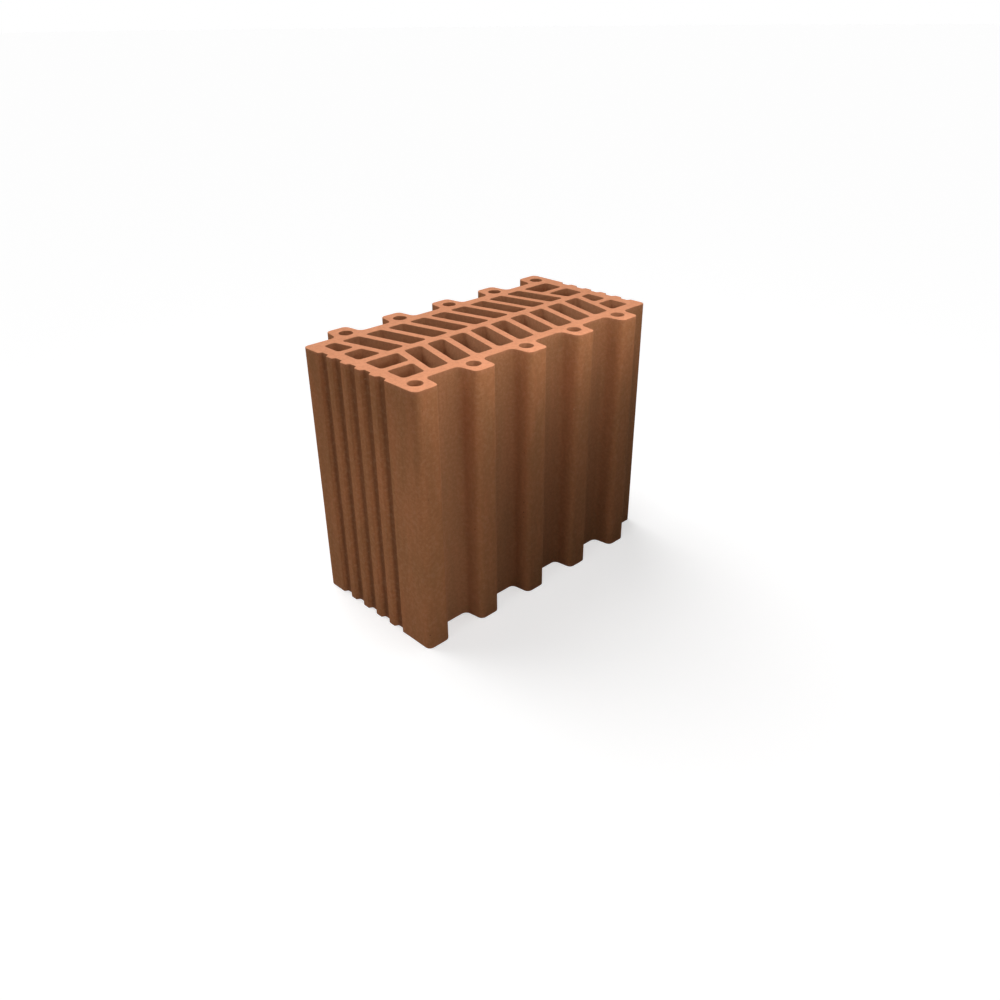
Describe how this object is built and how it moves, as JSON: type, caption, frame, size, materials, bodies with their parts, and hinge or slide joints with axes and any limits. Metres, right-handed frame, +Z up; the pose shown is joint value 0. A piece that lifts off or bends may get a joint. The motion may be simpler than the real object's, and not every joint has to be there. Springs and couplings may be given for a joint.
{
  "type": "hollow clay block",
  "caption": "Upright hollow block of fired clay: slanted through cells either side of a spine, full-height ribs with round holes along both long sides, keying grooves down both ends.",
  "frame": {"origin": "centre of the bottom bed face", "axes": "+X along the block, +Y across it, +Z up along the through cells"},
  "size_m": [0.24, 0.1328, 0.19],
  "materials": {
    "fired_clay": "unglazed, matte, fine extruded grain"
  },
  "bodies": {
    "root": {"clay_block": "fired_clay"}
  },
  "joints": []
}
